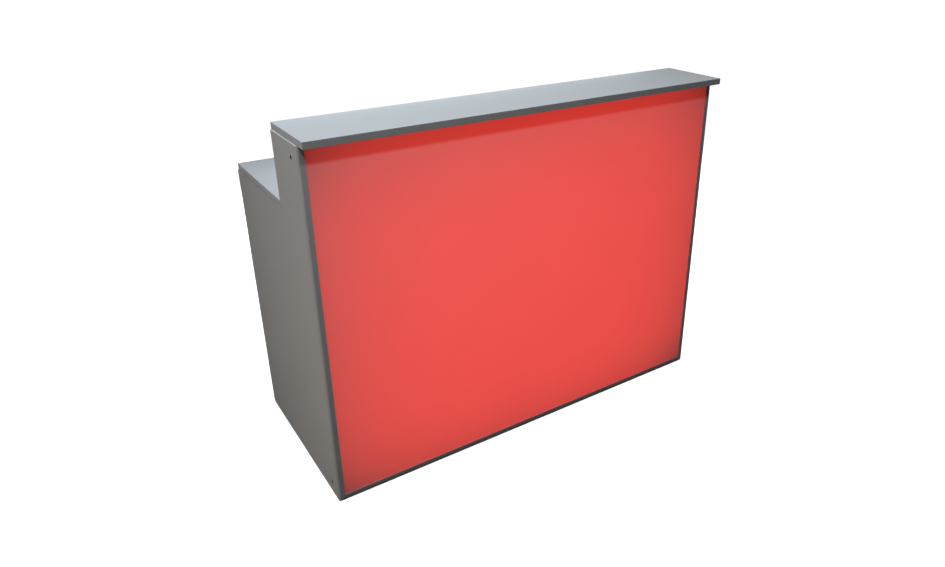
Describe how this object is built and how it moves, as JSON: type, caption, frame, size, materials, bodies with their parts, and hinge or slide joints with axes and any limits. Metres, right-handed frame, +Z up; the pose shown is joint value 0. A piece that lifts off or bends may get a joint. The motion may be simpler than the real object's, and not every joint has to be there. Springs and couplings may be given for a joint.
{
  "type": "bar counter",
  "caption": "Free-standing bar counter with a lit translucent front, a raised bar top over a lower worktop, and open adjustable shelves at the rear.",
  "frame": {"origin": "on the floor, below the middle of the counter's bounding box", "axes": "+X along the counter to the right seen from the lit front, +Y from the front to the rear, +Z up"},
  "size_m": [1.4, 0.65, 1.09],
  "materials": {
    "grey_melamine": "satin",
    "opal_panel": "gloss",
    "black_steel": "satin",
    "zinc_steel": "satin",
    "aluminium": "satin",
    "beech": "matte",
    "black_plastic": "matte",
    "white_plastic": "satin",
    "red_plastic": "gloss"
  },
  "bodies": {
    "counter": {"bar_top": "grey_melamine", "bar_top_screw_1": "zinc_steel", "bar_top_screw_2": "zinc_steel", "bar_top_screw_3": "zinc_steel", "bar_top_screw_4": "zinc_steel", "base_panel": "grey_melamine", "centre_divider": "grey_melamine", "centre_front_glide": "black_plastic", "centre_rear_glide": "black_plastic", "colour_controller": "white_plastic", "driver_wire": "black_plastic", "entry_plate": "aluminium", "front_panel": "opal_panel", "left_back_dowel": "beech", "left_base_dowel": "beech", "left_front_glide": "black_plastic", "left_lower_bolt": "black_steel", "left_rear_glide": "black_plastic", "left_shelf_pin_inner_front": "zinc_steel", "left_shelf_pin_inner_rear": "zinc_steel", "left_shelf_pin_outer_front": "zinc_steel", "left_shelf_pin_outer_rear": "zinc_steel", "left_side_panel": "grey_melamine", "left_upper_bolt": "black_steel", "left_worktop_batten": "grey_melamine", "left_worktop_dowel_front": "beech", "left_worktop_dowel_rear": "beech", "light_box_back": "grey_melamine", "light_box_top": "grey_melamine", "light_channel_lower": "aluminium", "light_channel_middle": "aluminium", "light_channel_upper": "aluminium", "light_driver": "aluminium", "light_strip_lower": "white_plastic", "light_strip_middle": "white_plastic", "light_strip_upper": "white_plastic", "light_wire": "black_plastic", "lower_front_rail": "grey_melamine", "mains_wire": "black_plastic", "power_inlet": "black_plastic", "right_back_dowel": "beech", "right_base_dowel": "beech", "right_front_glide": "black_plastic", "right_lower_bolt": "black_steel", "right_rear_glide": "black_plastic", "right_shelf_pin_inner_front": "zinc_steel", "right_shelf_pin_inner_rear": "zinc_steel", "right_shelf_pin_outer_front": "zinc_steel", "right_shelf_pin_outer_rear": "zinc_steel", "right_side_panel": "grey_melamine", "right_upper_bolt": "black_steel", "right_worktop_batten": "grey_melamine", "right_worktop_dowel_front": "beech", "right_worktop_dowel_rear": "beech", "switch_housing": "black_plastic", "upper_front_rail": "grey_melamine", "worktop": "grey_melamine"},
    "left_shelf": {"left_shelf": "grey_melamine"},
    "right_shelf": {"right_shelf": "grey_melamine"},
    "rocker": {"rocker_switch": "red_plastic"}
  },
  "joints": [
    {"name": "left_shelf_slide", "type": "slide", "parent": "counter", "child": "left_shelf", "axis": [0, 1, 0], "range_m": [0, 0.38]},
    {"name": "right_shelf_slide", "type": "slide", "parent": "counter", "child": "right_shelf", "axis": [0, 1, 0], "range_m": [0, 0.38]},
    {"name": "rocker_tilt", "type": "hinge", "parent": "counter", "child": "rocker", "pos_m": [0.578, -0.0916, 0.124], "axis": [-1, 0, 0], "range_deg": [0, 20]}
  ]
}
